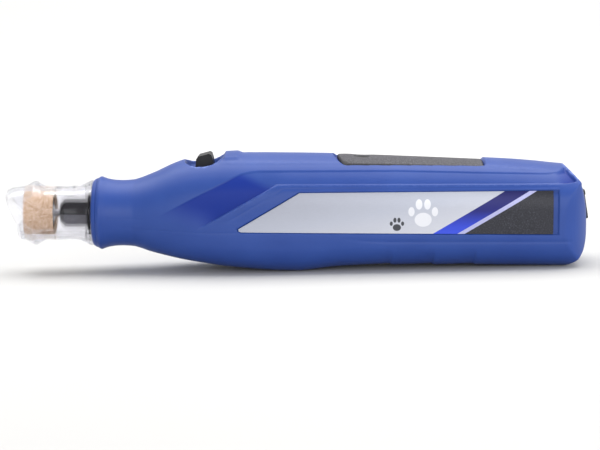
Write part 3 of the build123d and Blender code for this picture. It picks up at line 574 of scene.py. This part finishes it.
def shell_mesh(name, side, ds=0.22, nth=264):
    """One housing half as a closed solid: outer face with every moulded detail, plain inner face."""
    # columns evenly spaced round the middle section
    tt = np.linspace(0, math.pi, 2001)
    yy, zz = hull(np.full_like(tt, 70.0), tt)
    arc = np.concatenate([[0], np.cumsum(np.hypot(np.diff(yy), np.diff(zz)))])
    th = np.interp(np.linspace(0, arc[-1], nth + 1), arc, tt)
    # where each column's wall meets the tail
    se = np.full_like(th, 147.0)
    for _ in range(30):
        y, z = hull(se, th)
        se = 0.6 * se + 0.4 * tail_s(y, z)
    nw = int(round((146.0 - 2.28) / ds))
    w = np.linspace(0, 1, nw + 1)[:, None]
    S = 2.28 + w * (se[None, :] - 2.28)
    # even spacing along the main body, the stretch is taken up near the tail
    TH = np.broadcast_to(th[None, :], S.shape)
    Y, Z = hull(S, TH)
    ye, ze = Y[-1], Z[-1]
    nc = int(round(16.0 / ds))
    f = np.linspace(1, 0.012, nc + 1)[1:, None]
    yc = ye[None, :] * f
    zc = 1.0 + (ze[None, :] - 1.0) * f
    scap = tail_s(yc, zc)
    S = np.vstack([S, scap])
    Y = np.vstack([Y, yc])
    Z = np.vstack([Z, zc])
    P = np.stack([S, Y, Z], -1)
    # round the edge between wall and tail
    soft = (0.12 + 0.88 * sstep(0.75, 1.25, th))[None, :, None]
    for _ in range(9):
        Q = P.copy()
        a, b = nw - 6, nw + 7
        Q[a:b] = (1 - 0.5 * soft) * P[a:b] + 0.25 * soft * (P[a - 1:b - 1] + P[a + 1:b + 1])
        P = Q
    P[:, 0, 1] = 0.0
    P[:, -1, 1] = 0.0
    du = np.gradient(P, axis=0)
    dv = np.gradient(P, axis=1)
    # across the seam the surface is symmetric, so the y parts vanish there
    for j in (0, -1):
        dv[:, j] = (0, 1, 0) if j == 0 else (0, -1, 0)
        du[:, j, 1] = 0
    N = np.cross(dv, du)
    N /= np.linalg.norm(N, axis=-1, keepdims=True) + 1e-12
    if N[nw // 2, nth // 2, 1] < 0:
        N = -N
    s, y, z = P[..., 0], P[..., 1], P[..., 2]
    th_side = np.abs(N[..., 1])
    wall = np.arange(P.shape[0])[:, None] <= nw + 2
    depth = np.zeros(s.shape)
    side_on = (y > 6.0) & wall
    # label recess
    d = poly_sdf(s, z, RECESS)
    depth += np.where(side_on, 0.75 * (1 - sstep(-0.17, 0.17, d)), 0)
    # scalloped facet above it: deep at its upper edge, shallow at the lower
    du_, dl_ = line_dist(s, z, SC_UP), line_dist(s, z, SC_LOW)
    inside = poly_sdf(s, z, SC_POLY) < 0
    q = du_ / (du_ + dl_ + 1e-6)
    end = line_dist(s, z, [(20.5, 0.2), (33.0, -4.1)])
    slanted = 1 - sstep(50, 64, s)
    to_tail = tail_s(y, z) - s
    fade = sstep(0.0, 10.0, end) * sstep(0.45, 1.15, to_tail)
    dep = (0.20 + 0.65 * slanted * q) * fade
    rim = sstep(0, 0.45 + 0.10 * slanted, du_) * sstep(0, 0.35, dl_)
    depth += np.where(side_on & inside, dep * rim, 0)
    # scooped end of the scallop at the tail
    scoop = sstep(143.2, 148.4, s) * sstep(0.45, 1.25, to_tail) * sstep(0.0, 0.9, du_) * sstep(0.0, 0.7, dl_)
    depth += np.where((y > 4.5) & wall & inside, 0.85 * scoop, 0)
    # painted shade on the scallop facet, darker and less specular; in the slanted part it fades out towards its far
    # corner, and the scooped end at the tail is painted shaded as well
    far = (s - 47.0) + (z - 13.8) * 2.2
    painted_shade = np.where(side_on & inside, sstep(0.05, 0.5, du_) * sstep(0.05, 0.5, dl_) * sstep(-1.0, 9.0, end) * (1 - sstep(-3.5, 4.5, far)), 0.0)
    painted_shade = np.maximum(painted_shade, np.where((y > 4.5) & wall & inside, 0.8 * scoop, 0.0))
    # painted highlights along edges: the bead below the scallop and the upper edge of the tail
    edge_highlight = np.where(side_on & ~inside, 0.4 * np.exp(-(dl_ / 0.4) ** 2) * sstep(36, 42, s) * (1 - sstep(144, 148, s)), 0.0)
    edge_highlight = np.maximum(edge_highlight, np.where(wall & (y > 0.6), 2.2 * np.exp(-((to_tail - 0.25) / 0.42) ** 2) * sstep(10.4, 11.6, z), 0.0))
    # raised plateau round the crown, its edge runs from the thumb recess to the inlay
    lim = 16.35 + np.interp(s, [40, 76, 123, 135], [0.1, 0.25, -0.55, -1.6])
    plateau = sstep(-0.55, 0.45, z - lim) * sstep(38.5, 42.5, s) * (1 - sstep(138, 146, s)) * (z > 5)
    depth -= np.where(wall, 0.16 * plateau, 0)
    # painted highlight, faint, along the plateau's edge
    edge_highlight = np.maximum(edge_highlight, np.where(wall & (z > 5), np.exp(-((z - lim - 0.1) / 0.45) ** 2) * sstep(40, 43, s) * (1 - sstep(136, 144, s)), 0.0) * 0.15)
    # painted highlight along the rim of the thumb recess
    edge_highlight = np.maximum(edge_highlight, np.where(wall & (z > 12) & (y > 1.0), 1.6 * np.exp(-((boat_sdf(s, y) - 0.15) / 0.4) ** 2), 0.0))
    # parting lines along the neck
    depth += np.where(side_on, 0.06 * np.exp(-(line_dist(s, z, [(9.9, -3.6), (24.0, -4.0), (38.3, -4.3), (46.0, -4.1)]) / 0.22) ** 2), 0)
    depth += np.where(side_on, 0.03 * np.exp(-(line_dist(s, z, [(4.5, -0.55), (17.0, -0.6)]) / 0.22) ** 2), 0)
    # fine facet line beside the bead, and the soft crease below the label
    depth += np.where(side_on, 0.07 * np.exp(-(line_dist(s, z, FACET) / 0.28) ** 2) * sstep(40, 48, s), 0)
    dc = z + np.interp(s, [c[0] for c in CREASE], [-c[1] for c in CREASE])
    depth += np.where(side_on & (s > 74), 0.16 * np.exp(-(dc / 0.55) ** 2) * sstep(76, 90, s) * (1 - sstep(150, 154, s)), 0)
    # grip hollows under the body
    for g0, g1 in ((80.3, 94.2), (94.5, 107.2), (107.6, 120.0)):
        u = np.clip((s - g0) / (g1 - g0), 0, 1)
        prof = 0.42 * u ** 1.4 * (1 - sstep(0.93, 1.0, u)) * sstep(0, 0.2, u)
        depth += np.where(wall, prof * (1 - sstep(-13.2, -8.6, z)), 0)
    # pocket for the inlay in the crown
    px = np.where(s < 80.0, (79.9 - s) / 3.9, 0)
    half = np.where(s < 79.9, 10.2 * np.sqrt(np.clip(1 - px ** 2, 0, 1)), np.interp(s, [79.9, 122.9], [10.2, 8.7]))
    half = half - 1.5 * (1 - np.sqrt(1 - np.clip((s - 121.4) / 1.5, 0, 1) ** 2))
    dpk = np.maximum(np.abs(y) - half, np.maximum(76.0 - s, s - 122.9))
    depth += np.where((z > 10) & wall, 1.3 * (1 - sstep(-0.14, 0.14, dpk)), 0)
    # painted shade in the pocket under the inlay
    painted_shade = np.maximum(painted_shade, np.where((z > 10) & wall, 1 - sstep(-0.3, 0.05, dpk), 0.0))
    # thumb ridge
    depth -= np.where((z > 10) & wall, 0.68 * sstep(41.5, 42.6, s) * (1 - sstep(45.9, 48.0, s)) * (1 - sstep(6.6, 8.6, np.abs(y))), 0)
    # flap pocket and charging opening in the tail
    ca, sa = math.cos(PORT[2]), math.sin(PORT[2])
    v = -(s - PORT[0]) * sa + (z - PORT[1]) * ca
    rr = 1.5
    qx, qz = np.abs(y) - (6.7 - rr), np.abs(v) - (4.6 - rr)
    dp = np.hypot(np.maximum(qx, 0), np.maximum(qz, 0)) + np.minimum(np.maximum(qx, qz), 0) - rr
    depth += np.where(~wall | (s > 152), 0.78 * (1 - sstep(-0.1, 0.1, dp)), 0) * (s > 150)
    qx, qz = np.abs(y) - (4.3 - 0.7), np.abs(v) - (1.85 - 0.7)
    dp = np.hypot(np.maximum(qx, 0), np.maximum(qz, 0)) + np.minimum(np.maximum(qx, qz), 0) - 0.7
    depth += (s > 150) * 2.2 * (1 - sstep(-0.12, 0.12, dp))
    # screw wells, on the side that the screws enter from
    if side > 0:
        for bs, bz in SEATS:
            rad = np.hypot(s - bs, z - bz)
            depth += np.where(y > 5, 1.45 * (1 - sstep(2.05, 2.3, rad)), 0)
    # seam line
    depth += np.where(y < 0.02, 0.09, 0.0)
    D = P - N * depth[..., None]
    # thumb recess: lowered straight down
    bs = boat_sdf(D[..., 0], D[..., 1])
    floor = np.interp(D[..., 0], [28.6, 29.4, 30.25, 39.6, 41.2, 42.7], [18.5, 17.3, 14.3, 14.3, 15.6, 19.8])
    slot = (1 - sstep(-0.12, 0.12, np.maximum(np.abs(D[..., 1]) - 1.8, np.maximum(30.2 - D[..., 0], D[..., 0] - 35.7))))
    zin = D[..., 2] + np.minimum(bs, 0) * 2.4
    znew = np.maximum(floor - 1.4 * slot, zin)
    lower = (D[..., 2] > 8) & (bs < 0)
    D[..., 2] = np.where(lower, np.minimum(D[..., 2], znew), D[..., 2])
    D[:, 0, 1] = 0.0
    D[:, -1, 1] = 0.0
    # inner face on a coarser net, then rims between the two
    I = D - N * 1.25
    I[:, 0, 1] = 0.0
    I[:, -1, 1] = 0.0
    I[0, :, 0] = D[0, :, 0]
    nr, ncl = D.shape[:2]
    step = 4
    rows = list(range(0, nr, step))
    if rows[-1] != nr - 1:
        rows.append(nr - 1)
    cols = list(range(0, ncl, step))
    outer_id = np.arange(nr * ncl).reshape(nr, ncl)
    inner_pts = I[np.ix_(rows, cols)]
    inner_id = nr * ncl + np.arange(len(rows) * len(cols)).reshape(len(rows), len(cols))
    verts = np.vstack([D.reshape(-1, 3), inner_pts.reshape(-1, 3)])
    a = outer_id[:-1, :-1].ravel(); b = outer_id[1:, :-1].ravel(); c = outer_id[1:, 1:].ravel(); e = outer_id[:-1, 1:].ravel()
    faces = np.stack([a, e, c, b], 1).tolist()
    a = inner_id[:-1, :-1].ravel(); b = inner_id[1:, :-1].ravel(); c = inner_id[1:, 1:].ravel(); e = inner_id[:-1, 1:].ravel()
    faces += np.stack([a, b, c, e], 1).tolist()
    for r0, r1, i in zip(rows, rows[1:], range(len(rows))):
        faces.append([int(outer_id[r, 0]) for r in range(r0, r1 + 1)] + [int(inner_id[i + 1, 0]), int(inner_id[i, 0])])
        faces.append([int(outer_id[r, -1]) for r in range(r1, r0 - 1, -1)] + [int(inner_id[i, -1]), int(inner_id[i + 1, -1])])
    for c0, c1, j in zip(cols, cols[1:], range(len(cols))):
        faces.append([int(outer_id[0, q]) for q in range(c1, c0 - 1, -1)] + [int(inner_id[0, j]), int(inner_id[0, j + 1])])
    # close the tail's middle
    tip = D[-1].mean(0)
    tip[1] = 0.0
    tin = tip - np.array([1.25, 0, 0])
    verts = np.vstack([verts, tip, tin])
    it, ii = len(verts) - 2, len(verts) - 1
    for j in range(ncl - 1):
        faces.append([int(outer_id[-1, j]), int(outer_id[-1, j + 1]), it])
    for j in range(len(cols) - 1):
        faces.append([int(inner_id[-1, j + 1]), int(inner_id[-1, j]), ii])
    faces.append([it, int(outer_id[-1, -1]), int(inner_id[-1, -1]), ii])
    faces.append([int(outer_id[-1, 0]), it, ii, int(inner_id[-1, 0])])
    V = verts.copy()
    V[:, 1] *= side
    # flat on the rest plane where the belly and the heel touch it
    low = -V[:, 0] * ST + V[:, 2] * CT + REST_Z
    V[:, 2] += np.where(low < 0, -low, 0) / CT
    # the thumb ridge's rolled top ends at the CAD model's height
    high = -V[:, 0] * ST + V[:, 2] * CT + REST_Z - 1000 * CAD_BOX[1][2]
    V[:, 2] -= np.where(high > 0, high, 0) / CT
    me = bpy.data.meshes.new(name)
    if side < 0:
        faces = [fc[::-1] for fc in faces]
    me.from_pydata(place(V).tolist(), [], faces)
    me.update()
    me.polygons.foreach_set("use_smooth", np.ones(len(me.polygons), bool))
    # vertex attributes carrying the painted shade and the painted edge highlights
    for att, val in (("painted_shade", painted_shade), ("edge_highlight", edge_highlight)):
        data = np.zeros(len(V), dtype=np.float32)
        data[:nr * ncl] = val.ravel()
        me.attributes.new(att, "FLOAT", "POINT").data.foreach_set("value", data)
    ob = bpy.data.objects.new(name, me)
    bpy.context.scene.collection.objects.link(ob)
    ob.data.materials.append(M["blue"])
    return ob



def inlay_mesh():
    """Soft grip inlay: crowned pad with rolled edges, a round nose and a dish for the lens."""
    ns, ny = 280, 96
    ss = 77.26 + (122.68 - 77.26) * (np.linspace(0, 1, ns) ** 1.15)
    ww = np.linspace(-1, 1, ny)
    ww = np.sign(ww) * (1 - (1 - np.abs(ww)) ** 1.25)
    half = np.where(ss < 80.1, 10.0 * np.sqrt(np.clip(1 - ((80.1 - ss) / 2.9) ** 2, 0.0005, 1)), np.interp(ss, [80.1, 122.7], [10.0, 8.5]))
    half = half - 1.4 * (1 - np.sqrt(1 - np.clip((ss - 121.3) / 1.4, 0, 1) ** 2))
    S = np.repeat(ss[:, None], ny, 1)
    Y = half[:, None] * ww[None, :]
    tt = np.linspace(0, 1.1, 400)
    Z = np.empty_like(S)
    for i, x in enumerate(ss):
        yy, zz = hull(np.full_like(tt, x), tt)
        Z[i] = np.interp(np.abs(Y[i]), yy, zz)
    # distance to the plan outline
    e = np.minimum(half[:, None] - np.abs(Y), 122.7 - S)
    nose = 80.1 - S
    rn = np.hypot(nose / 2.9, Y / 10.0)
    e = np.where(nose > 0, (1 - rn) * 2.9, e)
    e = np.clip(e, 0, 0.85)
    roll = 0.85 - np.sqrt(np.clip(0.85 ** 2 - (0.85 - e) ** 2, 0, None))
    sink = np.interp(S, [76.3, 80.0, 90.0, 122.7], [0.10, -0.06, 0.02, 0.42])
    dish = sstep(1.0, 1.22, np.hypot((S - 84.9) / 2.2, Y / 2.6))
    funnel = 0.42 * (1 - sstep(1.0, 2.0, np.hypot((S - 84.9) / 2.2, Y / 2.6)))
    top = Z - (sink + roll + funnel) * dish - 1.15 * (1 - dish)
    low = Z - 1.25
    top = np.maximum(top, low + 0.04)
    n = ns * ny
    verts = np.concatenate([np.stack([S, Y, top], -1).reshape(-1, 3), np.stack([S, Y, low], -1).reshape(-1, 3)])
    idx = np.arange(n).reshape(ns, ny)
    faces = []
    a, b, c, d = (idx[:-1, :-1].ravel(), idx[1:, :-1].ravel(), idx[1:, 1:].ravel(), idx[:-1, 1:].ravel())
    faces += np.stack([a, b, c, d], 1).tolist()
    faces += np.stack([a + n, d + n, c + n, b + n], 1).tolist()
    for i in range(ns - 1):
        faces.append([int(idx[i, 0]), int(idx[i, 0] + n), int(idx[i + 1, 0] + n), int(idx[i + 1, 0])])
        faces.append([int(idx[i, -1]), int(idx[i + 1, -1]), int(idx[i + 1, -1] + n), int(idx[i, -1] + n)])
    for j in range(ny - 1):
        faces.append([int(idx[0, j]), int(idx[0, j + 1]), int(idx[0, j + 1] + n), int(idx[0, j] + n)])
        faces.append([int(idx[-1, j]), int(idx[-1, j] + n), int(idx[-1, j + 1] + n), int(idx[-1, j + 1])])
    me = bpy.data.meshes.new("top_inlay_pad")
    me.from_pydata(place(verts).tolist(), [], faces)
    me.update()
    me.polygons.foreach_set("use_smooth", np.ones(len(me.polygons), bool))
    # painted shade along the rolled edge, and on the sides and underside
    rim_shade = np.zeros(len(verts), dtype=np.float32)
    rim_shade[:n] = (1 - sstep(0.15, 0.8, e)).ravel()
    rim_shade[n:] = 1.0
    me.attributes.new("rim", "FLOAT", "POINT").data.foreach_set("value", rim_shade)
    ob = bpy.data.objects.new("top_inlay_pad", me)
    bpy.context.scene.collection.objects.link(ob)
    me.materials.append(M["inlay"])
    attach(ob, "housing")
    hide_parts("top_grip_inlay")
    return ob


inlay_pad = inlay_mesh()
left_shell = shell_mesh("housing_left_shell", -1)
right_shell = shell_mesh("housing_right_shell", 1)
for ob, node in ((left_shell, "housing_left"), (right_shell, "housing_right")):
    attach(ob, "housing")
    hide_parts(node)

# ------------------------------------------------------------------ stage, light, camera
def backdrop():
    prof = [(-1.2, 0.0)]
    prof += [(0.9, 0.0)]
    for i in range(1, 13):
        a = math.radians(90 * i / 12)
        prof.append((0.9 + 0.6 * math.sin(a), 0.6 - 0.6 * math.cos(a)))
    prof.append((1.5, 2.2))
    verts, faces = [], []
    for y, z in prof:
        verts += [(-2.5, y, z), (2.5, y, z)]
    for i in range(len(prof) - 1):
        a = 2 * i
        faces.append((a, a + 1, a + 3, a + 2))
    me = bpy.data.meshes.new("backdrop")
    me.from_pydata(verts, [], faces)
    for p in me.polygons:
        p.use_smooth = True
    ob = bpy.data.objects.new("backdrop", me)
    bpy.context.scene.collection.objects.link(ob)
    m, nt, b = new_mat("backdrop_white")
    v = coords(nt)
    nt.links.new(ramp(nt, noise(nt, v, 3, 2.0), [(0.3, (0.552, 0.55, 0.545, 1)), (0.7, (0.567, 0.565, 0.56, 1))]), b.inputs["Base Color"])
    # the paper glows a little further back, so that it stays white behind the object
    sep = nt.nodes.new("ShaderNodeSeparateXYZ")
    nt.links.new(v, sep.inputs[0])
    b.inputs["Emission Color"].default_value = (1, 1, 1, 1)
    nt.links.new(math_node(nt, "MULTIPLY", smooth(nt, sep.outputs[1], 0.06, 0.7), 0.46), b.inputs["Emission Strength"])
    b.inputs["Roughness"].default_value = 0.9
    b.inputs["Specular IOR Level"].default_value = 0.1
    me.materials.append(m)
    return ob


backdrop()
sc = bpy.context.scene
sc.view_settings.view_transform = "Standard"
world = bpy.data.worlds.new("studio")
sc.world = world
world.use_nodes = True
world.node_tree.nodes["Background"].inputs[0].default_value = (1.0, 0.99, 0.975, 1)
world.node_tree.nodes["Background"].inputs[1].default_value = 0.60


def area(name, loc, target, sx, sy, power, color=(1, 1, 1)):
    li = bpy.data.lights.new(name, "AREA")
    li.shape = "RECTANGLE"
    li.size, li.size_y = sx, sy
    li.energy = power
    li.color = color
    ob = bpy.data.objects.new(name, li)
    sc.collection.objects.link(ob)
    ob.location = loc
    d = Vector(target) - Vector(loc)
    ob.rotation_euler = d.to_track_quat("-Z", "Y").to_euler()
    return ob


area("top_box", (0.0, 0.18, 0.75), (0, 0, 0), 1.3, 0.7, 10.2)
area("front_box", (0.05, -1.0, 0.24), (0, 0, 0.02), 1.5, 0.44, 5.7)
area("tail_box", (0.8, -0.3, 0.35), (0, 0, 0.02), 0.6, 0.5, 2.6)

ELEV = math.radians(8.0)
DIST = 0.560
right = Vector((CT, 0, -ST))
view = Vector((0, math.cos(ELEV), -math.sin(ELEV)))
view = (view - right * view.dot(right)).normalized()
up = right.cross(view).normalized()
target = Vector((0.00114, 0.0, 0.01324))
cam = bpy.data.cameras.new("camera")
cam.sensor_width = 36.0
cam.lens = 36.0 * DIST / (0.600 * 0.315)
cam.clip_start = 0.01
cam_ob = bpy.data.objects.new("camera", cam)
sc.collection.objects.link(cam_ob)
rot = Matrix((right, up, -view)).transposed()
cam_ob.matrix_world = Matrix.Translation(target - view * DIST) @ rot.to_4x4()
sc.camera = cam_ob
